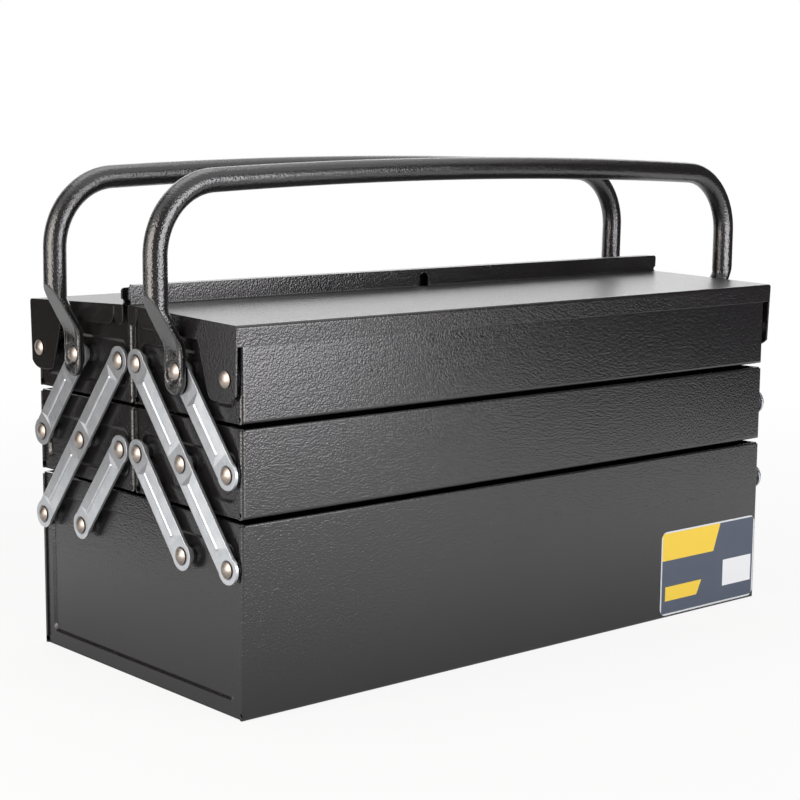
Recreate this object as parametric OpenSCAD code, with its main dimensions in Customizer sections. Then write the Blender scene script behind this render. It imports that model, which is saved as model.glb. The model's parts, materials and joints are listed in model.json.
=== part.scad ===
// Steel cantilever tool box with three tiers: a bottom box, two mid trays and
// two top trays with lids. Flat arms carry the trays up and outwards, and two
// tube handles swing on the top trays.
// Origin: middle of the footprint, on the floor. +X runs along the length,
// -Y is the front and +Z is up. Every size is in millimetres.
// Pieces are drawn once, at the front or at the left end, and mirrored.

/* [Box] */
// Length over the end walls
box_l = 420; // [360:10:520]
// Depth over the front and rear walls
box_d = 200; // [190:2:240]
// Height of the bottom box
base_h = 104; // [95:1:160]
// Thickness of the steel sheet
sheet = 1; // [0.8:0.1:1.2]
// Outer radius of the folded edges
bend_r = 1.8; // [1.4:0.1:3]
// Depth of the folded safety edge along the rims
hem_h = 6; // [4:0.5:9]
// Width of the wall strip that laps round onto each end
lap_w = 3; // [2.5:0.5:5]
// Radius of the relief holes in the corners
relief_r = 1.5; // [0.8:0.1:1.8]
// Depth of the spot-welded flanges inside each corner
weld_w = 8; // [5:1:12]

/* [Trays] */
// Height of a mid tray
mid_h = 47; // [44:1:70]
// Height of a top tray at its outer wall
top_h = 48.5; // [46:0.5:75]
// Space between one tier and the next
tier_gap = 2.5; // [1.5:0.1:4]
// Space between the front and the rear trays
centre_gap = 1.2; // [0.8:0.1:3]

/* [Stamped ends] */
// Depth of the stamped field in an end wall
field_t = 1.2; // [0.6:0.1:2]
// Corner radius of the stamped field
field_r = 5; // [3:0.5:8]
// Slope width round the stamped field
field_slope = 1.5; // [0.8:0.1:3]
// Border beside the field on the bottom box
base_field_side = 8; // [6:0.5:14]
// Border under the field on the bottom box
base_field_low = 7.5; // [6:0.5:14]
// Border over the field on the bottom box
base_field_top = 10.5; // [8:0.5:14]
// Border beside the field on a tray
tray_field_side = 6; // [5:0.5:9]
// Border under the field on a tray
tray_field_low = 6.5; // [5:0.5:9]
// Height of the field on a tray
tray_field_h = 28.5; // [24:0.5:30]

/* [Arms] */
// Space between an outer pivot's washer and the wall's lap
pivot_clear = 0.2; // [0.1:0.1:1.5]
// Height of the pivots over a tray's floor
pivot_up = 23; // [20:0.5:26]
// Width of an arm
arm_w = 15; // [12:0.5:16]
// Radius of an arm's rounded ends
arm_end_r = 8; // [7:0.1:8.2]
// Thickness of an arm
arm_t = 1.6; // [1.2:0.1:2]
// Height of the stiffening ridge on an arm
ridge_h = 0.8; // [0.4:0.1:1]
// Radius of the bead along the ridge
bead_r = 1.3; // [0.9:0.1:1.8]
// Height of the bead over the ridge
bead_up = 0.4; // [0.2:0.1:0.8]
// Distance from a pivot to the start of the ridge
ridge_start = 9; // [8:0.5:11]
// Flat edge beside the ridge
ridge_edge = 0.5; // [0.3:0.1:2]
// Length of the ridge's sloping ends
ridge_ramp = 4; // [2:0.5:6]

/* [Rivets] */
// Radius of a rivet's shank
rivet_r = 2.5; // [2:0.1:3]
// Radius of a rivet's domed head
head_r = 4.5; // [4:0.1:5]
// Height of a rivet's domed head
head_h = 2.3; // [1.8:0.1:2.8]
// Height of the straight rim under the dome
head_rim = 0.5; // [0.3:0.1:0.8]
// Radius of the formed head inside the wall
tail_r = 4.2; // [3.4:0.1:4.8]
// Thickness of the formed head inside the wall
tail_h = 1.5; // [1:0.1:2.5]
// Radius of the washers on the shanks
washer_r = 5; // [4.5:0.1:6]
// Thickness of the washer under an arm
washer_t = 3.2; // [1.5:0.1:4]
// Radial clearance of a shank in its hole
fit = 0.06; // [0.02:0.01:0.1]
// Side play of what turns on a rivet
play = 0.1; // [0.05:0.05:0.3]

/* [Lids] */
// Slope of each lid, up towards the middle, in degrees
lid_tilt = 2; // [0:0.5:4]
// Depth of the edge that is folded down round a lid
skirt_h = 11; // [9:0.5:14]
// Space between a tray's wall and the lid's skirt
skirt_gap = 0.6; // [0.4:0.1:1.5]
// Space between a tray's end wall and the lid's side strip
strip_out = 3.2; // [2.4:0.1:3.8]
// Height of the front lid's upturned edge in the middle
flange_h = 10.5; // [9:0.5:14]
// Distance from the middle of the box to the outer face of the upturned edge
flange_in = 3.8; // [3.2:0.1:5]
// How much lower the rear lid's upturned edge is
flange_step = 1.5; // [1.2:0.1:3]
// Corner radius at the ends of the upturned edges
flange_r = 2; // [1:0.5:4]
// Play between the closing lip and the other lid
lip_play = 0.6; // [0.4:0.1:1.2]
// Width of the padlock slot
slot_w = 8; // [6:0.5:10]
// How much narrower the rear lid's slot is
slot_step = 2.2; // [1:0.1:2.5]
// Height of the padlock slot
slot_h = 8; // [6:0.5:9]
// Space over the outer wall that lets the lid swing back
swing_gap = 1.4; // [1.3:0.1:2.5]
// Space between the inner wall and the closed lid
rest_gap = 0.3; // [0.2:0.1:0.8]
// Radius of the ear round the lid's pivot
ear_r = 12.6; // [11:0.1:13.5]
// Width of the ear where it leaves the skirt
ear_w = 34; // [30:0.5:36]
// Width of the ear at its lower corner
ear_low_w = 24.5; // [22:0.5:28]
// Radius of the ear's lower inner corner
ear_corner_r = 5.5; // [3:0.5:8]
// Width of the small tab under the upturned edge
tab_w = 8; // [6:0.5:10]
// Space between the tab and the side strip
tab_gap = 1; // [0.6:0.1:2]
// Radius of the side strip's rounded inner end
strip_end_r = 7; // [4:0.5:9]

/* [Handles] */
// Radius of the handle tube
tube_r = 6.5; // [6:0.5:8]
// Height of the middle of the bar over the handle's pivot
handle_h = 103.5; // [85:0.5:130]
// Distance from an end wall to the middle of a handle's leg
leg_out = 18; // [16:0.5:24]
// Bend radius of the tube, at its middle
handle_bend_r = 39; // [26:1:42]
// Bow of the bar between its bends
bar_bow = 4.4; // [1:0.2:8]
// Lean of the rear handle towards the middle, in degrees
rear_lean = 1; // [0:0.5:6]
// Thickness of a handle's flattened end
flat_t = 4.2; // [3.6:0.1:5]
// Width of a handle's flattened end
flat_w = 16; // [14:0.5:20]
// Length of the flattened end below the pivot
flat_low = 12.4; // [9:0.2:14]
// Height of the lid's side strip over the knee of a handle's leg
knee_clear = 5.2; // [4.5:0.1:8]
// Length of the slanting face pressed into the outer side of the tube
press_len = 27; // [22:1:32]
// Length of round tube on the inner side, beside the top of that face
press_late = 8; // [5:0.5:12]
// Depth of the cup round a handle's rivet
cup_t = 1.9; // [1:0.1:2.4]
// Radius of the cup round a handle's rivet
cup_r = 6.2; // [5.6:0.1:7]
// Play between a handle's flattened end and the arm behind it
handle_play = 0.3; // [0.2:0.1:0.6]

/* [Label] */
// Length of the bare label
label_l = 92; // [60:1:110]
// Height of the bare label
label_h = 54; // [40:1:60]
// Thickness of the label
label_t = 0.2; // [0.1:0.1:0.4]
// Corner radius of the label
label_r = 5; // [1:0.5:8]
// Distance from the label to the folds of the box
label_edge = 0; // [0:0.5:6]

/* [Hidden] */
SIDES = ["front", "rear"];

$fn = 64;
eps = 0.01;
// Straight steps in which a preview draws the bowed bar
bar_steps = 24;
// How far a stretch of tube reaches into the next, and how much slimmer it is
tube_over = 1;
tube_step = 0.05;
// How square the tube's section gets where it is pressed flat
squareness = 0.55;
// Space round a node's own hems, where two sheets would meet in a corner
corner_gap = 0.2;

// Tiers, from the floor up
tray_d = (box_d - centre_gap) / 2;
pitch = mid_h + tier_gap;
mid_z = base_h + tier_gap;
top_z = mid_z + pitch;

// Pivot columns, on the front half, and pivot rows. The outer pivots clear
// the laps, and the arms of the front and the rear half clear each other.
pivot_in = max(lap_w + washer_r, arm_end_r) + pivot_clear;
col_out = -box_d / 2 + pivot_in;
run = (tray_d - 2 * pivot_in) / 2;
col_mid = col_out + run;
col_in = col_mid + run;
row_mid = mid_z + pivot_up;
row_base = row_mid - pitch;
row_top = row_mid + pitch;
arm_len = norm([run, pitch]);
arm_lean = atan2(run, pitch);

// Distances outwards from the end plane of the laps, negative inwards
plate_out = -sheet;
field_out = plate_out - field_t;
tail_out = field_out - sheet;
washer_out = plate_out + washer_t;
arm_out = washer_out + play;
arm_face = arm_out + arm_t;
flat_out = arm_face + handle_play;
cup_face = flat_out + flat_t - cup_t;
strip_face = strip_out + sheet;

// Lids
skirt_y = -box_d / 2 - skirt_gap - sheet;
lid_z = top_z + top_h + swing_gap + sheet;
lid_d = -skirt_y - flange_in + sheet;
lid_under_in = lid_z + lid_d * sin(lid_tilt) - sheet / cos(lid_tilt);
top_h_in = lid_under_in - rest_gap - top_z;
lip_w = 2 * (flange_in - sheet) - lip_play;

// Handles
leg_x = box_l / 2 + leg_out;
bar_turn = 2 * atan(bar_bow / (leg_x - handle_bend_r));
bar_r = (leg_x - handle_bend_r) / sin(bar_turn) + handle_bend_r;
bend_z = handle_h - handle_bend_r * cos(bar_turn) - bar_r * (1 - cos(bar_turn));
bend_x = -leg_x + handle_bend_r;
flat_x = -box_l / 2 - flat_out - flat_t / 2;
strip_low = lid_z + (col_mid - skirt_y) * sin(lid_tilt) - skirt_h * cos(lid_tilt);
flat_up = strip_low - row_top - knee_clear;
round_up = flat_up + press_len;

// Colours
black = [0.06, 0.06, 0.065];
zinc = [0.78, 0.79, 0.80];
nickel = [0.82, 0.77, 0.70];
label_blue = [0.33, 0.38, 0.45];

// ---------------------------------------------------------------- helpers

module rear() mirror([0, 1, 0]) children();
module right() mirror([1, 0, 0]) children();
module both_ends() { children(); right() children(); }

// Extrudes an outline drawn in (Y, Z) outwards from the left end plane
module on_end(out, t)
    translate([-box_l / 2 - out - t, 0, 0]) rotate([90, 0, 90]) linear_extrude(t) children();

// Extrudes an outline drawn in (Y, Z) along the length, to x on both sides
module along_x(x) translate([-x, 0, 0]) rotate([90, 0, 90]) linear_extrude(2 * x) children();

// A round bar or hole along X at the left end, between two distances outwards
module end_rod(y, z, r, from, to)
    translate([-box_l / 2 - to, y, z]) rotate([0, 90, 0]) cylinder(r = r, h = to - from);

module end_hole(y, z) end_rod(y, z, rivet_r + fit, tail_out - 5, cup_face + 10);

// A rectangle with all four corners rounded
module round_rect(w, h, r) {
    translate([r, 0]) square([w - 2 * r, h]);
    translate([0, r]) square([w, h - 2 * r]);
    for (x = [r, w - r], y = [r, h - r]) translate([x, y]) circle(r);
}

// A rectangle with only its two lower corners rounded
module tub_outline(w, h, r) {
    translate([r, 0]) square([w - 2 * r, h]);
    translate([0, r]) square([w, h - r]);
    for (x = [r, w - r]) translate([x, r]) circle(r);
}

// ------------------------------------------------------- walls and floors

// Solid tub shape: rounded along its lower edges and up its corners
module tub_solid(y0, d, z0, h, len, r) intersection() {
    along_x(len / 2) translate([y0, z0]) tub_outline(d, h, r);
    translate([-len / 2, y0, z0]) linear_extrude(h) round_rect(len, d, r);
}

// Folded safety edge against the inner face of a wall
module hem(y0, z_top, inwards) {
    x = box_l / 2 - 2 * sheet - corner_gap;
    y_axis = y0 + inwards * sheet;
    along_x(x) {
        translate([min(y0, y0 + inwards * 2 * sheet), z_top - hem_h])
            square([2 * sheet, hem_h - sheet]);
        translate([y_axis, z_top - sheet]) circle(sheet);
    }
}

// One sheet folded into outer wall, floor and inner wall, lapped round the ends
module tub(y0, d, z0, h_out, h_in) {
    h = max(h_out, h_in);
    cut = bend_r + relief_r / 2;
    difference() {
        tub_solid(y0, d, z0, h, box_l, bend_r);
        translate([0, 0, sheet])
            tub_solid(y0 + sheet, d - 2 * sheet, z0, h + 1, box_l - 2 * sheet, bend_r - sheet);
        both_ends() translate([-box_l / 2 - 1, y0 + lap_w, z0 - 1])
            cube([1 + sheet + eps, d - 2 * lap_w, h + 2]);
        both_ends() for (y = [y0 + cut, y0 + d - cut])
            end_rod(y, z0 + cut, relief_r, -3 * sheet, 1);
        translate([-box_l / 2 - 1, y0 - 1, z0 + h_out - sheet])
            cube([box_l + 2, d / 2 + 1, h]);
        translate([-box_l / 2 - 1, y0 + d / 2, z0 + h_in - sheet])
            cube([box_l + 2, d / 2 + 1, h]);
    }
    hem(y0, z0 + h_out, 1);
    hem(y0 + d, z0 + h_in, -1);
}

// Upright cut that keeps an end wall's corner clear of the shell's inner bend
module corner_cut(y, z0, h) {
    c = bend_r - sheet;
    translate([-box_l / 2 + sheet, y, z0 - 1]) linear_extrude(h + 2)
        polygon([[-c, 0], [0, c], [c, 0], [0, -c]]);
}

// Left end wall with its stamped field, weld flanges and doubled rim.
// side, low and tall are the borders beside and under the field and its height.
module end_wall(y0, d, z0, h_out, h_in, side, low, tall) {
    in_y = y0 + sheet;
    in_d = d - 2 * sheet;
    in_z = z0 + sheet;
    cut = bend_r + relief_r / 2;
    slope = (h_in - h_out) / d;
    difference() {
        union() {
            on_end(plate_out - sheet, sheet) difference() {
                translate([in_y, in_z]) tub_outline(in_d, max(h_out, h_in) - sheet, bend_r);
                polygon([[y0, z0 + h_out], [y0, z0 + 2 * h_in + h_out],
                    [y0 + d, z0 + 2 * h_in + h_out], [y0 + d, z0 + h_in]]);
            }
            on_end(field_out - sheet, field_t + sheet)
                translate([y0 + side, z0 + low]) round_rect(d - 2 * side, tall, field_r);
            on_end(plate_out - weld_w, weld_w) {
                translate([in_y, in_z + bend_r]) square([sheet, h_out - hem_h - sheet - bend_r - 1]);
                translate([in_y + in_d - sheet, in_z + bend_r])
                    square([sheet, h_in - hem_h - sheet - bend_r - 1]);
                translate([in_y + bend_r, in_z]) square([in_d - 2 * bend_r, sheet]);
            }
            on_end(plate_out - 2 * sheet, sheet) polygon([
                for (y = [in_y + sheet + corner_gap, in_y + in_d - sheet - corner_gap])
                    [y, z0 + h_out + (y - y0) * slope - hem_h],
                for (y = [in_y + in_d - sheet - corner_gap, in_y + sheet + corner_gap])
                    [y, z0 + h_out + (y - y0) * slope]]);
        }
        hull() {
            on_end(plate_out, eps) translate([y0 + side + sheet, z0 + low + sheet])
                round_rect(d - 2 * side - 2 * sheet, tall - 2 * sheet, field_r - sheet, $fn = 32);
            on_end(field_out, eps)
                translate([y0 + side + sheet + field_slope, z0 + low + sheet + field_slope])
                round_rect(d - 2 * (side + sheet + field_slope), tall - 2 * (sheet + field_slope),
                    field_r - sheet, $fn = 32);
        }
        for (y = [y0 + cut, y0 + d - cut]) end_rod(y, z0 + cut, relief_r, -3 * sheet, 1);
        for (y = [in_y, in_y + in_d]) corner_cut(y, z0, max(h_out, h_in));
    }
}

// Pivot bosses stand up from the field to the level of the border
module drilled_end(pivots) difference() {
    union() {
        children();
        for (p = pivots) end_rod(p[0], p[1], washer_r, tail_out, plate_out);
    }
    for (p = pivots) end_hole(p[0], p[1]);
}

function base_pivots() = [for (s = [1, -1]) for (y = [col_out, col_mid]) [s * y, row_base]];
function mid_pivots() = [for (y = [col_out, col_mid, col_in]) [y, row_mid]];
function top_pivots() = [for (y = [col_out, col_mid, col_in]) [y, row_top]];

module box_shell() color(black) tub(-box_d / 2, box_d, 0, base_h, base_h);

module box_end() color(black) drilled_end(base_pivots())
    end_wall(-box_d / 2, box_d, 0, base_h, base_h, base_field_side, base_field_low,
        base_h - base_field_low - base_field_top);

module mid_shell() color(black) tub(-box_d / 2, tray_d, mid_z, mid_h, mid_h);

module mid_end() color(black) drilled_end(mid_pivots())
    end_wall(-box_d / 2, tray_d, mid_z, mid_h, mid_h, tray_field_side, tray_field_low, tray_field_h);

module top_shell() color(black) tub(-box_d / 2, tray_d, top_z, top_h, top_h_in);

module top_end() color(black) drilled_end(top_pivots())
    end_wall(-box_d / 2, tray_d, top_z, top_h, top_h_in, tray_field_side, tray_field_low, tray_field_h);

// ------------------------------------------------------ rivets and washers

// A rivet at the left end: domed head outside, formed head inside
module rivet(y, z, head_out) {
    dome = head_h - head_rim;
    dome_r = (head_r * head_r + dome * dome) / (2 * dome);
    end_rod(y, z, rivet_r, tail_out, head_out + eps);
    end_rod(y, z, tail_r, tail_out - tail_h, tail_out);
    end_rod(y, z, head_r, head_out, head_out + head_rim);
    intersection() {
        translate([-box_l / 2 - head_out - head_h + dome_r, y, z]) sphere(dome_r);
        end_rod(y, z, head_r, head_out + head_rim, head_out + head_h + 1);
    }
}

module washer(y, z, from, to) difference() {
    end_rod(y, z, washer_r, from, to);
    end_rod(y, z, rivet_r + fit, from - 1, to + 1);
}

module arm_rivet(p) rivet(p[0], p[1], arm_face + play);
module arm_washer(p) washer(p[0], p[1], plate_out, washer_out);

module box_rivets() color(nickel) both_ends() for (p = base_pivots()) arm_rivet(p);
module box_washers() color(zinc) both_ends() for (p = base_pivots()) arm_washer(p);
module mid_rivets() color(nickel) both_ends() for (p = mid_pivots()) arm_rivet(p);
module mid_washers() color(zinc) both_ends() for (p = mid_pivots()) arm_washer(p);
module top_rivets() color(nickel) both_ends() arm_rivet([col_in, row_top]);
module top_washers() color(zinc) both_ends() for (y = [col_mid, col_in]) arm_washer([y, row_top]);
module lid_rivets() color(nickel) both_ends() rivet(col_out, row_top, strip_face + play);
module lid_spacers() color(zinc) both_ends()
    washer(col_out, row_top, plate_out, strip_out - play);
module handle_rivets() color(nickel) both_ends() rivet(col_mid, row_top, cup_face + play);

// -------------------------------------------------------------------- arms

// Ridge that stiffens one span of an arm: two slopes, sloping ends and a bead
module ridge(from, to) {
    w = arm_w - 2 * ridge_edge;
    long = to - from - 2 * ridge_ramp;
    intersection() {
        translate([0, 0, from]) linear_extrude(to - from)
            polygon([[eps, -w / 2], [-ridge_h, 0], [eps, w / 2]]);
        rotate([90, 0, 0]) linear_extrude(w, center = true)
            polygon([[eps, from], [-ridge_h, from + ridge_ramp],
                [-ridge_h, to - ridge_ramp], [eps, to]]);
    }
    translate([bead_r - bead_up - ridge_h, 0, from + ridge_ramp]) difference() {
        union() {
            cylinder(r = bead_r, h = long);
            for (z = [0, long]) translate([0, 0, z]) sphere(bead_r);
        }
        translate([ridge_h + bead_up - bead_r + eps, -bead_r, -bead_r])
            cube([2 * bead_r, 2 * bead_r, long + 2 * bead_r]);
    }
}

// An arm over several spans, standing up from its lowest pivot at (y, z).
// gap_top is the plain length under the top pivot.
module arm(y, z, spans, gap_top) color(zinc) translate([0, y, z]) rotate([-arm_lean, 0, 0]) {
    difference() {
        on_end(arm_out, arm_t) {
            translate([-arm_w / 2, 0]) square([arm_w, spans * arm_len]);
            for (k = [0, spans]) translate([0, k * arm_len]) circle(arm_end_r);
        }
        for (k = [0 : spans]) end_hole(0, k * arm_len);
    }
    for (k = [0 : spans - 1])
        translate([-box_l / 2 - arm_face, 0, k * arm_len])
            ridge(ridge_start, arm_len - (k == spans - 1 ? gap_top : ridge_start));
}

module long_arm() arm(col_out, row_base, 2, ridge_start);
module short_arm() arm(col_mid, row_base, 1, ridge_start);
module link_arm() arm(col_out, row_mid, 1, flat_up + ridge_ramp);

// -------------------------------------------------------------------- lids

function arc(x, y, r, a0, a1, n = 16) =
    [for (k = [0 : n]) let (a = a0 + (a1 - a0) * k / n) [x + r * cos(a), y + r * sin(a)]];

// Places what is drawn flat, with the lid's outer top edge on the X axis
module lid_place() translate([0, skirt_y, lid_z]) rotate([lid_tilt, 0, 0]) children();

// Side strip, ear and small tab of a lid, in the lid's own (Y, Z)
module lid_side() {
    tab_y = lid_d - tab_w;
    strip_y = tab_y - tab_gap;
    ear_z = row_top - lid_z;
    ear_y = col_out - skirt_y;
    polygon(concat([[0, 0], [0, ear_z]],
        arc(ear_y, ear_z, ear_r, 180 + acos(ear_y / ear_r), 270),
        arc(ear_low_w - ear_corner_r, ear_z - ear_r + ear_corner_r, ear_corner_r, 270, 340, 8),
        [[ear_w, -skirt_h]],
        arc(strip_y - strip_end_r, -skirt_h + strip_end_r, strip_end_r, 270, 360, 10),
        [[strip_y, 0]]));
    polygon(concat([[tab_y, 0]],
        arc(tab_y + tab_w / 2, -skirt_h + tab_w / 2, tab_w / 2, 180, 360),
        [[tab_y + tab_w, 0]]));
}

// Cross-section of a lid: skirt, top and upturned edge, with rounded folds
module lid_section(edge_h) {
    inner_r = bend_r - sheet;
    difference() {
        union() {
            translate([0, -skirt_h]) square([lid_d - bend_r, skirt_h - bend_r]);
            translate([bend_r, -bend_r]) square([lid_d - 2 * bend_r, bend_r]);
            translate([bend_r, -bend_r]) circle(bend_r);
            translate([lid_d - bend_r - 1, -sheet]) square([1 + bend_r - inner_r, sheet]);
        }
        translate([sheet + inner_r, -skirt_h - 1]) square([lid_d, skirt_h - sheet + 1]);
        translate([sheet, -skirt_h - 1]) square([lid_d, skirt_h + 1 - bend_r]);
        translate([bend_r, -bend_r]) circle(inner_r);
    }
    // the fold up into the middle edge
    intersection() {
        translate([lid_d - bend_r, bend_r - sheet]) difference() {
            circle(bend_r);
            circle(inner_r);
        }
        translate([lid_d - bend_r, -sheet]) square([bend_r, bend_r]);
    }
    translate([lid_d - sheet, bend_r - sheet]) square([sheet, edge_h - bend_r + sheet]);
}

// What rounds off an upper corner of the upturned edge
module flange_corner(edge_h) translate([-box_l / 2 - strip_face, lid_d + 1, edge_h])
    rotate([90, 0, 0]) linear_extrude(sheet + 2) difference() {
        translate([-1, -flange_r]) square(flange_r + 1);
        translate([flange_r, -flange_r]) circle(flange_r);
    }

// One lid, drawn at the front; lip says whether it carries the closing lip
module lid(lip) color(black) difference() {
    edge_h = lip ? flange_h : flange_h - flange_step;
    gap_w = lip ? slot_w : slot_w - slot_step;
    lid_place() {
        difference() {
            along_x(box_l / 2 + strip_face) lid_section(edge_h);
            both_ends() flange_corner(edge_h);
            translate([-gap_w / 2, lid_d - sheet - 1, eps]) cube([gap_w, sheet + 2, slot_h - slot_w / 2]);
            translate([0, lid_d + 1, slot_h - slot_w / 2])
                rotate([90, 0, 0]) cylinder(r = gap_w / 2, h = sheet + 2);
            both_ends() translate([-box_l / 2 - strip_face, lid_d - sheet - 1, relief_r])
                rotate([-90, 0, 0]) cylinder(r = relief_r, h = sheet + 2);
        }
        both_ends() on_end(strip_out, sheet) intersection() {
            lid_side();
            union() {
                translate([0, -top_h]) square([2 * lid_d, top_h - bend_r]);
                translate([bend_r, -bend_r]) square([lid_d, bend_r]);
                translate([bend_r, -bend_r]) circle(bend_r);
            }
        }
        if (lip) along_x(box_l / 2)
            translate([lid_d - sheet, edge_h - sheet]) square([lip_w + sheet, sheet]);
    }
    both_ends() end_hole(col_out, row_top);
}

// ----------------------------------------------------------------- handles

// Section of the tube at t, which runs from 0, round, to 1, pressed flat
function power(v, e) = sign(v) * pow(abs(v), e);
function section(t, sides) = let (e = 1 - squareness * t,
        x = -leg_x + (flat_x + leg_x) * t,
        hx = tube_r + (flat_t / 2 - tube_r) * t, hy = tube_r + (flat_w / 2 - tube_r) * t)
    [for (k = [0 : sides - 1]) let (a = 360 * (k + 0.5) / sides)
        [x + hx * power(cos(a), e), hy * power(sin(a), e)]];

// The stretch in which the round tube becomes the flattened end. Its outer
// side is one slanting face, which starts higher up than the inner side's bend.
module pressed_leg(sides = 32, rings = 7) difference() {
    bent = round_up - press_late;
    points = [for (j = [-1 : rings]) let (t = max(0, j / rings), z = j < 0 ? round_up + tube_over : bent)
        for (q = section(t, sides)) [q[0], q[1], z - (bent - flat_up) * t]];
    faces = concat(
        [[for (k = [sides - 1 : -1 : 0]) k]],
        [for (j = [0 : rings]) for (k = [0 : sides - 1]) let (n = (k + 1) % sides)
            [j * sides + k, j * sides + n, (j + 1) * sides + n, (j + 1) * sides + k]],
        [[for (k = [0 : sides - 1]) (rings + 1) * sides + k]]);
    polyhedron(points, faces, convexity = 4);
    rotate([90, 0, 0]) linear_extrude(2 * flat_w, center = true) polygon([
        [-leg_x - tube_r, round_up], [-leg_x - 2 * tube_r, round_up],
        [-leg_x - 2 * tube_r, flat_up], [flat_x - flat_t / 2 - tube_step, flat_up]]);
}

// Flattened end with its cup and its hole, round the pivot at the origin
module handle_end() difference() {
    on_end(flat_out, flat_t) {
        translate([-flat_w / 2, -flat_low + flat_w / 2]) square([flat_w, flat_up + flat_low - flat_w / 2]);
        translate([0, -flat_low + flat_w / 2]) circle(flat_w / 2);
    }
    end_rod(0, 0, cup_r, cup_face, cup_face + cup_t + 1);
    end_hole(0, 0);
}

// A tube handle round the pivot at the origin
module handle() {
    both_ends() {
        handle_end();
        // a core joins the pressed end to the tube
        translate([flat_x, 0, flat_up]) cylinder(r = flat_t / 2 - 0.5, h = 4, center = true);
        pressed_leg();
        translate([-leg_x, 0, round_up])
            cylinder(r = tube_r - tube_step, h = bend_z - round_up + tube_over);
        translate([bend_x, 0, bend_z]) rotate([90, 0, 0]) rotate([0, 0, 90 + bar_turn])
            rotate_extrude(angle = 90 - bar_turn) translate([handle_bend_r, 0]) circle(tube_r);
    }
    half_turn = bar_turn + asin(tube_over / bar_r);
    translate([0, 0, handle_h - bar_r]) rotate([90, 0, 0]) rotate([0, 0, 90 - half_turn])
        rotate_extrude(angle = 2 * half_turn, $fn = bar_steps * 180 / half_turn)
            translate([bar_r, 0]) circle(tube_r - tube_step, $fn = 64);
}

module place_handle(lean) color(black) translate([0, col_mid, row_top]) rotate([-lean, 0, 0]) handle();

// ------------------------------------------------------------------- label

module label_plate() color(label_blue)
    translate([box_l / 2 - bend_r - label_edge - label_l, -box_d / 2, bend_r + label_edge])
        rotate([90, 0, 0]) linear_extrude(label_t) round_rect(label_l, label_h, label_r);

// ------------------------------------------------------------------- nodes

box_shell();
box_end();  // box_end_left
right() box_end();  // box_end_right
box_rivets();
box_washers();
label_plate();

mid_shell();  // front_mid_shell
mid_end();  // front_mid_end_left
right() mid_end();  // front_mid_end_right
mid_rivets();  // front_mid_rivets
mid_washers();  // front_mid_washers
top_shell();  // front_top_shell
top_end();  // front_top_end_left
right() top_end();  // front_top_end_right
top_rivets();  // front_top_rivets
top_washers();  // front_top_washers
lid(true);  // front_lid
lid_rivets();  // front_lid_rivets
lid_spacers();  // front_lid_spacers
place_handle(0);  // front_handle
handle_rivets();  // front_handle_rivets
long_arm();  // front_long_arm_left
right() long_arm();  // front_long_arm_right
short_arm();  // front_short_arm_left
right() short_arm();  // front_short_arm_right
link_arm();  // front_link_arm_left
right() link_arm();  // front_link_arm_right

rear() mid_shell();  // rear_mid_shell
rear() mid_end();  // rear_mid_end_left
rear() right() mid_end();  // rear_mid_end_right
rear() mid_rivets();  // rear_mid_rivets
rear() mid_washers();  // rear_mid_washers
rear() top_shell();  // rear_top_shell
rear() top_end();  // rear_top_end_left
rear() right() top_end();  // rear_top_end_right
rear() top_rivets();  // rear_top_rivets
rear() top_washers();  // rear_top_washers
rear() lid(false);  // rear_lid
rear() lid_rivets();  // rear_lid_rivets
rear() lid_spacers();  // rear_lid_spacers
rear() place_handle(rear_lean);  // rear_handle
rear() handle_rivets();  // rear_handle_rivets
rear() long_arm();  // rear_long_arm_left
rear() right() long_arm();  // rear_long_arm_right
rear() short_arm();  // rear_short_arm_left
rear() right() short_arm();  // rear_short_arm_right
rear() link_arm();  // rear_link_arm_left
rear() right() link_arm();  // rear_link_arm_right
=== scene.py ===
import json
from math import atan, cos, hypot, pi, radians, sin

import bmesh
import bpy
from mathutils import Euler, Matrix, Vector, noise


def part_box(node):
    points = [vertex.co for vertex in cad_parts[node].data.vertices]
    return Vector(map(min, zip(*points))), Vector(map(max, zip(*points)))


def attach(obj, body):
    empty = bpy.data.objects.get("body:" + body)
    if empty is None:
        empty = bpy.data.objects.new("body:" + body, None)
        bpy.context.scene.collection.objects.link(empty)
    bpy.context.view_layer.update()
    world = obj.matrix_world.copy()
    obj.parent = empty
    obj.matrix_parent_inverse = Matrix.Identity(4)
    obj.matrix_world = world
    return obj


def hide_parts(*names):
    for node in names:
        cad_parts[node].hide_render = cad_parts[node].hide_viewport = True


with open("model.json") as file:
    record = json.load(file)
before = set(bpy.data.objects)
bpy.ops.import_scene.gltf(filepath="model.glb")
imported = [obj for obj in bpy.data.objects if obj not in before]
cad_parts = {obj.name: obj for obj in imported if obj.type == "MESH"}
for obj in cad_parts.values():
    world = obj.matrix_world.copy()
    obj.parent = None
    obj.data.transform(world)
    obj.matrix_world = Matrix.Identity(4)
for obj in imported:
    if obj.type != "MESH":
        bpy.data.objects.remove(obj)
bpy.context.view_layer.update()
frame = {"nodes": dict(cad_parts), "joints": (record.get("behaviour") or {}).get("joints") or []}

MM = 0.001
NODES = frame["nodes"]
JOINTS = {j["name"]: j for j in frame["joints"]}

# Camera, as found from the corners of the box in the photograph
CAMERA_AT = (-0.75485, -0.83786, 0.30024)
CAMERA_TURN = -39.503
CAMERA_PITCH = -8.749
CAMERA_ROLL = 0.15
CAMERA_LENS = 82.45
CAMERA_SHIFT = (0.0768, 0.0242)

# How much of the floor's white is its own near the object, and the distances
# over which it becomes all its own
FLOOR_OWN = 0.88
FLOOR_NEAR, FLOOR_FAR = 0.35, 1.1

# The box's footprint, and how the floor's reflected white fades towards it: painted shade that only
# reflections show
FOOT = (0.42, 0.2)
PAINTED_SHADE_NEAR, PAINTED_SHADE_REACH = 0.45, 0.28

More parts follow.
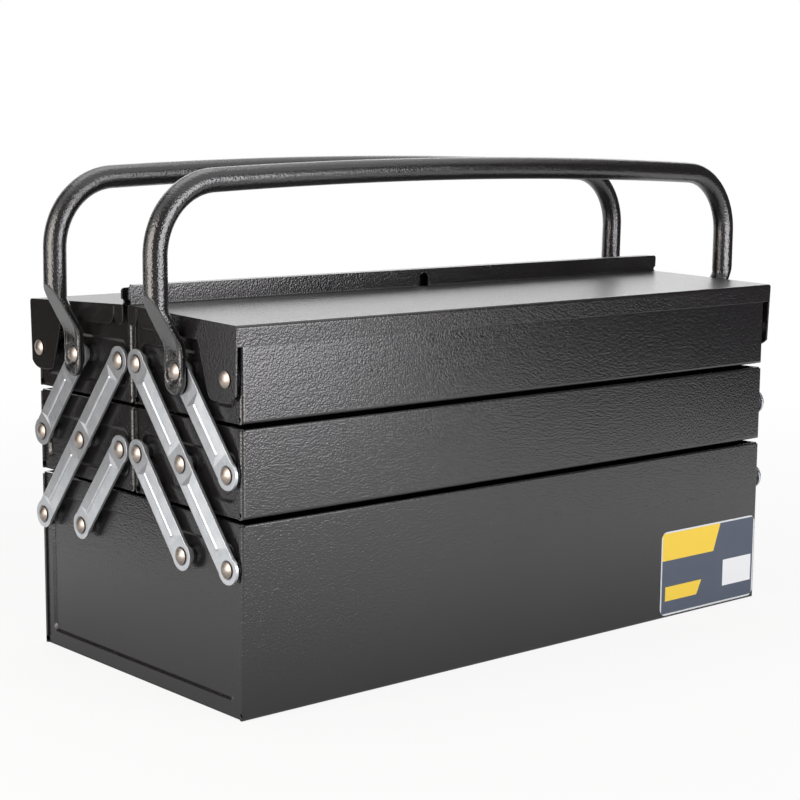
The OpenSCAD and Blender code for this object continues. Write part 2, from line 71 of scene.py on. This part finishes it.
# Powder coat: grains per metre of three sizes, and the soft edge in millimetres
PEBBLES, SWELL, DUST = 840.0, 1050.0, 2600.0
COAT_EDGE = 0.5

# Handle sizes in millimetres, as in the solids
TUBE_R = 6.5
BEND_R = 39.0
BAR_BOW = 4.4
FLAT_T = 4.2
FLAT_W = 16.0
FLAT_LOW = 12.4
KNEE = 5.0
FLAT_UP = 13.5
PRESS_LEN = 27.0
PRESS_LATE = 8.0
FLAT_OUT = 4.2
CUP_R = 6.2
CUP_T = 1.9
SQUARENESS = 0.55
REAR_LEAN = 1.0
LEG_OUT = 18.0
HANDLE_H = 103.5

# The outer side of a pressed end, in millimetres: rims that bulge to both sides of
# its middle line, the dish between them, and how both fade out up the leg
RIM_AT, RIM_HALF, RIM_RISE = 6.1, 1.9, 0.25
DISH_HALF, DISH_DEPTH = 5.5, 0.35
FADE_TOP, FADE_LEN = 6.0, 8.0

# The cup round the rivet: half the width of its sloping wall, how far past it and
# over what width the crumples fade, and each crumple's waves per mm, seed and depth
WALL_HALF = 0.9
CRUMPLE_PAST, CRUMPLE_FADE = 5.0, 3.0
CRUMPLES = ((0.55, 3.7, 0.35), (1.4, 9.1, 0.12))

# Points round a tube, points that a pressed section is first drawn with, and
# steps along each bend and round each lower end
RING = 96
FINE = 720
BEND_STEPS = 24
END_STEPS = 32


# ------------------------------------------------------------ node helpers

def new_tree(name):
    material = bpy.data.materials.new(name)
    material.use_nodes = True
    material.node_tree.nodes.clear()
    return material, material.node_tree


def add(tree, kind, settings=(), **inputs):
    """A shader node with its settings and inputs; _ in an input's name is a space."""
    made = tree.nodes.new("ShaderNode" + kind)
    for key, value in dict(settings).items():
        setattr(made, key, value)
    for key, value in inputs.items():
        plug(tree, made.inputs[key.replace("_", " ")], value)
    return made


def plug(tree, socket, value):
    if isinstance(value, bpy.types.NodeSocket):
        tree.links.new(value, socket)
    elif isinstance(value, (tuple, list)) and len(value) == 3 and socket.type == "RGBA":
        socket.default_value = (*value, 1.0)
    else:
        socket.default_value = value


def calc(tree, operation, *values):
    made = tree.nodes.new("ShaderNodeMath")
    made.operation = operation
    for socket, value in zip(made.inputs, values):
        plug(tree, socket, value)
    return made.outputs[0]


def vector_calc(tree, operation, *values):
    made = tree.nodes.new("ShaderNodeVectorMath")
    made.operation = operation
    for socket, value in zip(made.inputs, values):
        plug(tree, socket, value)
    return made


def mix_colours(tree, factor, first, second):
    made = tree.nodes.new("ShaderNodeMix")
    made.data_type = "RGBA"
    plug(tree, made.inputs["Factor"], factor)
    plug(tree, made.inputs[6], first)
    plug(tree, made.inputs[7], second)
    return made.outputs[2]


def spread(tree, value, low, high, to_low, to_high):
    made = add(tree, "MapRange", From_Min=low, From_Max=high, To_Min=to_low, To_Max=to_high)
    plug(tree, made.inputs["Value"], value)
    return made.outputs["Result"]


def here(tree):
    return add(tree, "TexCoord").outputs["Object"]


def grain(tree, where, per_metre, detail=2.0, roughness=0.5):
    return add(tree, "TexNoise", Vector=where, Scale=per_metre, Detail=detail,
               Roughness=roughness).outputs["Fac"]


def painted_corner_shade(tree, colour, reach):
    """The colour with painted shade: darkened where other metal stands closer than so many
    millimetres.
    """
    open_share = add(tree, "AmbientOcclusion", {"samples": 4}, Distance=reach * MM).outputs["AO"]
    return mix_colours(tree, spread(tree, open_share, 0.72, 0.96, 0.0, 1.0),
                       (0.02, 0.018, 0.017), colour)


def finish_material(tree, shader):
    out = add(tree, "OutputMaterial")
    tree.links.new(shader.outputs[0], out.inputs["Surface"])


# --------------------------------------------------------------- materials

def powder_coat(name, dark, light, rough, relief):
    """Black textured powder coat: rounded grains about 1.2 mm across, relief in millimetres.
    Seen at a grazing angle the grains hide one another, which a rougher and less bumpy
    surface stands for."""
    material, tree = new_tree(name)
    where = here(tree)
    pebbles = add(tree, "TexVoronoi", {"feature": "SMOOTH_F1"}, Vector=where, Scale=PEBBLES,
                  Smoothness=0.6, Randomness=1.0).outputs["Distance"]
    swell = grain(tree, where, SWELL)
    dust = grain(tree, where, DUST, 1.0)
    height = calc(tree, "ADD", calc(tree, "MULTIPLY", pebbles, -0.7),
                  calc(tree, "ADD", calc(tree, "MULTIPLY", swell, 0.9),
                       calc(tree, "MULTIPLY", dust, 0.2)))
    soft_edge = add(tree, "Bevel", {"samples": 4}, Radius=COAT_EDGE * MM).outputs["Normal"]
    grazing = calc(tree, "POWER", add(tree, "LayerWeight", Blend=0.5).outputs["Facing"], 7.0)
    bumped = add(tree, "Bump", Strength=calc(tree, "SUBTRACT", 1.0, grazing),
                 Distance=relief * MM, Height=height, Normal=soft_edge).outputs["Normal"]
    patches = grain(tree, where, 14.0, 3.0)
    colour = mix_colours(tree, spread(tree, patches, 0.35, 0.65, 0.0, 1.0), dark, light)
    sheen = spread(tree, swell, 0.3, 0.7, rough - 0.04, rough + 0.05)
    shader = add(tree, "BsdfPrincipled", Base_Color=colour, IOR=1.75, Normal=bumped,
                 Roughness=calc(tree, "ADD", sheen, calc(tree, "MULTIPLY", grazing, 0.45)))
    finish_material(tree, shader)
    return material


def zinc(name, lean):
    """Zinc-plated strip: fine scratches along arms that lean by so many degrees."""
    material, tree = new_tree(name)
    where = here(tree)
    along = add(tree, "Mapping", Vector=where, Rotation=(radians(lean), 0.0, 0.0),
                Scale=(1.0, 1.0, 0.06)).outputs["Vector"]
    lines = grain(tree, along, 2600.0, 3.0, 0.6)
    clouds = grain(tree, where, 160.0, 3.0)
    soft_edge = add(tree, "Bevel", {"samples": 6}, Radius=0.45 * MM).outputs["Normal"]
    bumped = add(tree, "Bump", Strength=0.25, Distance=0.02 * MM, Height=lines,
                 Normal=soft_edge).outputs["Normal"]
    metal = mix_colours(tree, spread(tree, clouds, 0.35, 0.65, 0.0, 1.0),
                        (0.62, 0.65, 0.69), (0.72, 0.74, 0.765))
    # painted shade: a dark ring round each rivet head and in the corners between parts
    colour = painted_corner_shade(tree, metal, 1.2)
    shader = add(tree, "BsdfPrincipled", Base_Color=colour, Metallic=0.88, Normal=bumped,
                 Roughness=spread(tree, lines, 0.3, 0.7, 0.27, 0.36))
    finish_material(tree, shader)
    return material


def nickel():
    """Nickel-plated rivet heads with a warm tint and a few marks."""
    material, tree = new_tree("nickel")
    where = here(tree)
    marks = grain(tree, where, 900.0, 3.0)
    bumped = add(tree, "Bump", Strength=0.2, Distance=0.05 * MM, Height=marks).outputs["Normal"]
    colour = mix_colours(tree, spread(tree, marks, 0.3, 0.7, 0.0, 1.0),
                         (0.33, 0.285, 0.25), (0.45, 0.395, 0.35))
    # painted shade where the rivet head meets the arm
    colour = painted_corner_shade(tree, colour, 0.8)
    shader = add(tree, "BsdfPrincipled", Base_Color=colour, Metallic=1.0, Normal=bumped,
                 Roughness=spread(tree, marks, 0.3, 0.7, 0.32, 0.42))
    finish_material(tree, shader)
    return material


def printed_label():
    """Slate film with plain yellow and white blocks, placed as shares of the label."""
    material, tree = new_tree("label_film")
    low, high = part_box("label_plate")
    width, height = high.x - low.x, high.z - low.z
    place = add(tree, "SeparateXYZ", Vector=here(tree))
    u = calc(tree, "DIVIDE", calc(tree, "SUBTRACT", place.outputs["X"], low.x), width)
    v = calc(tree, "DIVIDE", calc(tree, "SUBTRACT", place.outputs["Z"], low.z), height)

    def block(u0, u1, v0, v1, slant=0.0):
        """1 inside the block; slant cuts its lower right corner, as a share of the width."""
        inside = calc(tree, "MULTIPLY", calc(tree, "GREATER_THAN", u, u0),
                      calc(tree, "LESS_THAN", v, v1))
        inside = calc(tree, "MULTIPLY", inside, calc(tree, "GREATER_THAN", v, v0))
        edge = calc(tree, "ADD", u1 - slant,
                    calc(tree, "MULTIPLY", calc(tree, "SUBTRACT", v, v0), slant / (v1 - v0)))
        return calc(tree, "MULTIPLY", inside, calc(tree, "LESS_THAN", u, edge))

    ground = mix_colours(tree, grain(tree, here(tree), 60.0, 3.0),
                         (0.070, 0.086, 0.118), (0.085, 0.102, 0.135))
    pale = mix_colours(tree, block(0.012, 0.988, 0.02, 0.98), (0.62, 0.64, 0.66), ground)
    yellow = mix_colours(tree, block(0.012, 0.62, 0.655, 0.98, 0.07), pale, (0.80, 0.56, 0.06))
    strip = mix_colours(tree, block(0.05, 0.43, 0.17, 0.34, 0.05), yellow, (0.80, 0.56, 0.06))
    colour = mix_colours(tree, block(0.66, 0.97, 0.20, 0.52), strip, (0.75, 0.76, 0.77))
    soft = add(tree, "Bump", Strength=0.1, Distance=0.1 * MM,
               Height=grain(tree, here(tree), 400.0)).outputs["Normal"]
    shader = add(tree, "BsdfPrincipled", Base_Color=colour, Roughness=0.45, IOR=1.5, Normal=soft)
    shader.inputs["Specular IOR Level"].default_value = 0.3
    finish_material(tree, shader)
    return material


def dress(node, material):
    slots = NODES[node].material_slots
    if slots:
        for entry in slots:
            entry.material = material
    else:
        NODES[node].data.materials.append(material)


# ----------------------------------------------------------------- handles

def power(value, exponent):
    return (1 if value >= 0 else -1) * abs(value) ** exponent


def even_ring(points, count):
    """The closed outline again, with so many points evenly spaced along it."""
    closed = points + points[:1]
    reach = [0.0]
    for a, b in zip(closed, closed[1:]):
        reach.append(reach[-1] + hypot(b[0] - a[0], b[1] - a[1]))
    ring, k = [], 0
    for n in range(count):
        want = reach[-1] * n / count
        while reach[k + 1] < want:
            k += 1
        share = (want - reach[k]) / (reach[k + 1] - reach[k])
        ring.append(tuple(a + (b - a) * share for a, b in zip(closed[k], closed[k + 1])))
    return ring


def section(z, leg_x):
    """Outline (x, y) of the left leg at height z over the pivot, in millimetres.
    It starts at the middle of the inner side and goes round by +y."""
    flat_x = -(leg_x - LEG_OUT + FLAT_OUT + FLAT_T / 2)
    round_up = FLAT_UP + PRESS_LEN
    inner = min(1.0, max(0.0, (round_up - PRESS_LATE - z) / (PRESS_LEN - PRESS_LATE)))
    e = 1 - SQUARENESS * inner
    middle = -leg_x + (flat_x + leg_x) * inner
    half_x = TUBE_R + (FLAT_T / 2 - TUBE_R) * inner
    half_y = TUBE_R + (FLAT_W / 2 - TUBE_R) * inner
    # the slanting face leaves the flattened end with a soft knee
    over = z - FLAT_UP
    rise = max(0.0, over) if abs(over) > KNEE else (over + KNEE) ** 2 / (4 * KNEE)
    slope = (leg_x + TUBE_R + flat_x - FLAT_T / 2) / PRESS_LEN
    face = max(-leg_x - TUBE_R, flat_x - FLAT_T / 2 - slope * rise)
    reach = max(half_x, middle - face)
    ring = []
    for k in range(FINE):
        a = 2 * pi * k / FINE
        x = middle + (half_x if cos(a) > 0 else reach) * power(cos(a), e)
        ring.append((max(face, x), half_y * power(sin(a), e)))
    return even_ring(ring, RING)


def pressed(x, y, z, leg_x):
    """Moves a point of the flattened end: bulged edges, a dished middle, and a
    crumpled cup round the rivet. Only the outer side moves."""
    flat_x = -(leg_x - LEG_OUT + FLAT_OUT + FLAT_T / 2)
    outward = min(1.0, max(0.0, (flat_x - x) / (FLAT_T / 2) * 1.6 - 0.4))
    if outward <= 0 or z > FLAT_UP + FADE_TOP:
        return x, y, z
    fade = min(1.0, max(0.0, (FLAT_UP + FADE_TOP - z) / FADE_LEN))
    bulge = RIM_RISE * max(0.0, 1 - ((abs(y) - RIM_AT) / RIM_HALF) ** 2)
    dish = -DISH_DEPTH * max(0.0, 1 - (y / DISH_HALF) ** 2)
    from_pivot = hypot(y, z)
    wall = min(1.0, max(0.0, (CUP_R + WALL_HALF - from_pivot) / (2 * WALL_HALF)))
    crumple = sum(noise.noise(Vector((y * waves, z * waves, seed))) * depth
                  for waves, seed, depth in CRUMPLES)
    near = min(1.0, max(0.0, (CUP_R + CRUMPLE_PAST - from_pivot) / CRUMPLE_FADE))
    depth = (bulge + dish * (1 - wall)) * fade - CUP_T * wall * wall * (3 - 2 * wall)
    return x - outward * (depth + crumple * near * fade), y, z


def handle_mesh(name, leg_x, top):
    """One bent tube with pressed ends round the pivot at the origin.
    leg_x and top, the distance to a leg's middle and the bar's height, are in millimetres."""
    bar_turn = 2 * atan(BAR_BOW / (leg_x - BEND_R))
    bar_r = (leg_x - BEND_R) / sin(bar_turn) + BEND_R
    bend_z = top - BEND_R * cos(bar_turn) - bar_r * (1 - cos(bar_turn))
    rings = []
    low_z = -FLAT_LOW + FLAT_W / 2
    z = low_z
    while z < FLAT_UP + PRESS_LEN:
        rings.append([pressed(x, y, z, leg_x) for x, y in section(z, leg_x)])
        z += 0.45 if z < FLAT_UP + 7 else 1.0
    circle = [(TUBE_R * cos(2 * pi * k / RING), TUBE_R * sin(2 * pi * k / RING))
              for k in range(RING)]

    def tube_ring(px, pz, turn):
        """A round section at (px, pz) whose tube has turned so far inwards from upright."""
        return [(px + a * cos(turn), b, pz - a * sin(turn)) for a, b in circle]

    rings += [tube_ring(-leg_x, z, 0.0) for z in (FLAT_UP + PRESS_LEN, bend_z)]
    full = pi / 2 - bar_turn
    for k in range(1, BEND_STEPS + 1):
        turn = full * k / BEND_STEPS
        rings.append(tube_ring(-leg_x + BEND_R * (1 - cos(turn)), bend_z + BEND_R * sin(turn), turn))
    for k in range(1, BEND_STEPS + 1):
        turn = full + bar_turn * k / BEND_STEPS
        rings.append(tube_ring(-bar_r * cos(turn), top - bar_r * (1 - sin(turn)), turn))

    # the rounded lower end turns half of the lowest section about its own middle
    half = RING // 2
    lowest = section(low_z, leg_x)[:half + 1]
    fan = []
    for s in range(1, END_STEPS):
        turn = pi * s / END_STEPS
        fan.append([pressed(x, y * cos(turn), low_z - y * sin(turn), leg_x) for x, y in lowest])

    points, faces = [], []

    def place(row):
        first = len(points)
        points.extend(row)
        return list(range(first, first + len(row)))

    def bridge(a, b, closed, flip):
        for k in range(len(a) if closed else len(a) - 1):
            n = (k + 1) % len(a)
            face = [a[k], a[n], b[n], b[k]]
            face = [v for i, v in enumerate(face) if v not in face[:i]]
            faces.append(face[::-1] if flip else face)

    for side in (1, -1):
        flip = side < 0
        turned = [[(side * x, y, z) for x, y, z in ring] for ring in rings]
        rows = [place(ring) for ring in turned]
        for a, b in zip(rows, rows[1:]):
            bridge(a, b, True, flip)
        first, last = rows[0][:half + 1], [rows[0][0]] + rows[0][:half - 1:-1]
        strips = [first]
        for row in fan:
            inner = place([(side * x, y, z) for x, y, z in row[1:-1]])
            strips.append([rows[0][0]] + inner + [rows[0][half]])
        strips.append(last)
        for a, b in zip(strips, strips[1:]):
            bridge(b, a, False, flip)

    mesh = bpy.data.meshes.new(name)
    mesh.from_pydata([(x * MM, y * MM, z * MM) for x, y, z in points], [], faces)
    mesh.validate()
    return mesh


def build_handle(side, material, lean):
    pivot = Vector(JOINTS[side + "_handle_swing"]["pos_m"])
    leg_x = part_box(side + "_handle")[1].x / MM - TUBE_R
    mesh = handle_mesh(side + "_handle_tube", leg_x, HANDLE_H)
    merge_middle(mesh)
    mesh.transform(Matrix.Translation(pivot) @ Matrix.Rotation(radians(lean), 4, "X"))
    piece = bpy.data.objects.new(side + "_handle_tube", mesh)
    bpy.context.scene.collection.objects.link(piece)
    mesh.materials.append(material)
    mesh.shade_smooth()
    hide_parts(side + "_handle")
    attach(piece, side + "_handle")


def merge_middle(mesh):
    """Joins the left and the right half where they meet in the middle of the bar."""
    work = bmesh.new()
    work.from_mesh(mesh)
    bmesh.ops.remove_doubles(work, verts=[v for v in work.verts if abs(v.co.x) < 1e-6], dist=1e-6)
    bmesh.ops.recalc_face_normals(work, faces=work.faces)
    work.to_mesh(mesh)
    work.free()


# ------------------------------------------------------- camera and studio

def set_camera():
    data = bpy.data.cameras.new("camera")
    data.lens, data.sensor_width = CAMERA_LENS, 36.0
    data.shift_x, data.shift_y = CAMERA_SHIFT
    camera = bpy.data.objects.new("camera", data)
    turn = Euler((radians(90 + CAMERA_PITCH), 0.0, radians(CAMERA_TURN)), "XYZ").to_matrix()
    roll = Matrix.Rotation(radians(CAMERA_ROLL), 3, "Z")
    camera.matrix_world = Matrix.Translation(CAMERA_AT) @ (turn @ roll).to_4x4()
    bpy.context.scene.collection.objects.link(camera)
    bpy.context.scene.camera = camera


def background_ray(tree):
    """1 for rays that show the background: from the camera, reflected or let through."""
    path = add(tree, "LightPath")
    seen = calc(tree, "MAXIMUM", path.outputs["Is Camera Ray"], path.outputs["Is Glossy Ray"])
    return calc(tree, "MAXIMUM", seen, path.outputs["Is Transmission Ray"])


def set_world(fill):
    world = bpy.data.worlds.new("studio")
    world.use_nodes = True
    tree = world.node_tree
    tree.nodes.clear()
    level = calc(tree, "ADD", fill, calc(tree, "MULTIPLY", background_ray(tree), 1.0 - fill))
    ground = add(tree, "Background", Color=(1.0, 1.0, 1.0), Strength=level)
    out = tree.nodes.new("ShaderNodeOutputWorld")
    tree.links.new(ground.outputs[0], out.inputs["Surface"])
    bpy.context.scene.world = world


def set_floor():
    """White floor that takes the shadow. For rays that show the background, most of its
    white is its own, and far from the object all of it. Reflections show that white
    darker close to the object: painted shade in place of the object's shadow."""
    material, tree = new_tree("floor")
    where = here(tree)
    paper = add(tree, "BsdfDiffuse", Color=(0.9, 0.9, 0.9))
    past = vector_calc(tree, "ABSOLUTE", where).outputs[0]
    past = vector_calc(tree, "SUBTRACT", past, (FOOT[0] / 2, FOOT[1] / 2, 0.0)).outputs[0]
    past = vector_calc(tree, "MAXIMUM", past, (0.0, 0.0, 0.0)).outputs[0]
    past = vector_calc(tree, "LENGTH", past).outputs["Value"]
    # painted shade: the floor's emission darker near the box, for reflected rays only
    shade = calc(tree, "MAXIMUM", spread(tree, past, 0.0, PAINTED_SHADE_REACH, PAINTED_SHADE_NEAR, 1.0),
                 add(tree, "LightPath").outputs["Is Camera Ray"])
    white = add(tree, "Emission", Color=(1.0, 1.0, 1.0), Strength=shade)
    away = vector_calc(tree, "LENGTH", where).outputs["Value"]
    own = spread(tree, away, FLOOR_NEAR, FLOOR_FAR, FLOOR_OWN, 1.0)
    both = add(tree, "MixShader")
    plug(tree, both.inputs[0], calc(tree, "MULTIPLY", background_ray(tree), own))
    tree.links.new(paper.outputs[0], both.inputs[1])
    tree.links.new(white.outputs[0], both.inputs[2])
    finish_material(tree, both)
    floor = plane("floor", [(-6, -6, 0), (6, -6, 0), (6, 6, 0), (-6, 6, 0)], material)


def plane(name, corners, material):
    mesh = bpy.data.meshes.new(name)
    mesh.from_pydata(corners, [], [tuple(range(len(corners)))])
    mesh.materials.append(material)
    piece = bpy.data.objects.new(name, mesh)
    bpy.context.scene.collection.objects.link(piece)
    return piece


def dark_card(name, start, end, height, colour):
    """A dark studio card that stands on the floor, out of view. Only reflections show it."""
    material, tree = new_tree(name)
    finish_material(tree, add(tree, "Emission", Color=colour, Strength=1.0))
    card = plane(name, [(*start, 0), (*end, 0), (*end, height), (*start, height)], material)
    card.visible_camera = card.visible_diffuse = card.visible_shadow = False
    card.visible_transmission = False


def softbox(name, at, towards, size, radiance, colour=(1.0, 1.0, 1.0)):
    """An area lamp; radiance 1 is as bright as the white background."""
    data = bpy.data.lights.new(name, "AREA")
    data.shape = "RECTANGLE"
    data.size, data.size_y = size
    data.energy = radiance * pi * size[0] * size[1]
    data.color = colour
    lamp = bpy.data.objects.new(name, data)
    aim = Vector(towards) - Vector(at)
    lamp.matrix_world = Matrix.Translation(at) @ aim.to_track_quat("-Z", "Y").to_matrix().to_4x4()
    lamp.visible_camera = False
    bpy.context.scene.collection.objects.link(lamp)


def light_studio():
    softbox("front", (0.2, -1.15, 0.32), (0.2, 0.0, 0.32), (1.0, 0.62), 5.5, (0.985, 0.97, 1.0))
    softbox("left", (-0.85, -0.09, 0.32), (0.0, -0.09, 0.32), (0.5, 0.62), 4.5, (1.0, 0.92, 0.86))
    softbox("behind", (1.05, 1.3, 0.58), (0.0, 0.0, 0.2), (1.9, 0.9), 1.4)
    softbox("overhead", (0.0, 0.3, 1.6), (0.0, 0.0, 0.1), (1.4, 1.0), 1.6)
    dark_card("card_right", (0.84, 0.25), (0.84, -1.0), 1.0, (0.07, 0.065, 0.07))
    dark_card("card_front", (0.84, -1.0), (0.7, -1.16), 1.0, (0.07, 0.065, 0.07))
    dark_card("card_camera", (-0.86, -0.38), (-0.3, -1.16), 1.2, (0.25, 0.24, 0.24))
    dark_card("card_left", (-0.46, 0.24), (-0.46, 1.1), 1.2, (0.05, 0.045, 0.042))


# ---------------------------------------------------------------- assembly

def main():
    bpy.context.scene.view_settings.view_transform = "Standard"
    set_camera()
    set_world(0.2)
    set_floor()
    light_studio()

    coat = powder_coat("black_coat", (0.0095, 0.0088, 0.0092), (0.012, 0.011, 0.0115), 0.14, 0.12)
    handle_coat = powder_coat("handle_coat", (0.009, 0.0085, 0.0085), (0.012, 0.011, 0.011),
                              0.13, 0.16)
    plain_zinc = {"front": zinc("zinc_front", 40.0), "rear": zinc("zinc_rear", -40.0)}
    heads = nickel()
    for node in NODES:
        side = "rear" if node.startswith("rear") else "front"
        if "rivets" in node:
            dress(node, heads)
        elif "_arm_" in node or "washers" in node or "spacers" in node:
            dress(node, plain_zinc[side])
        elif node == "label_plate":
            dress(node, printed_label())
        else:
            dress(node, coat)
    build_handle("front", handle_coat, 0.0)
    build_handle("rear", handle_coat, REAR_LEAN)


main()
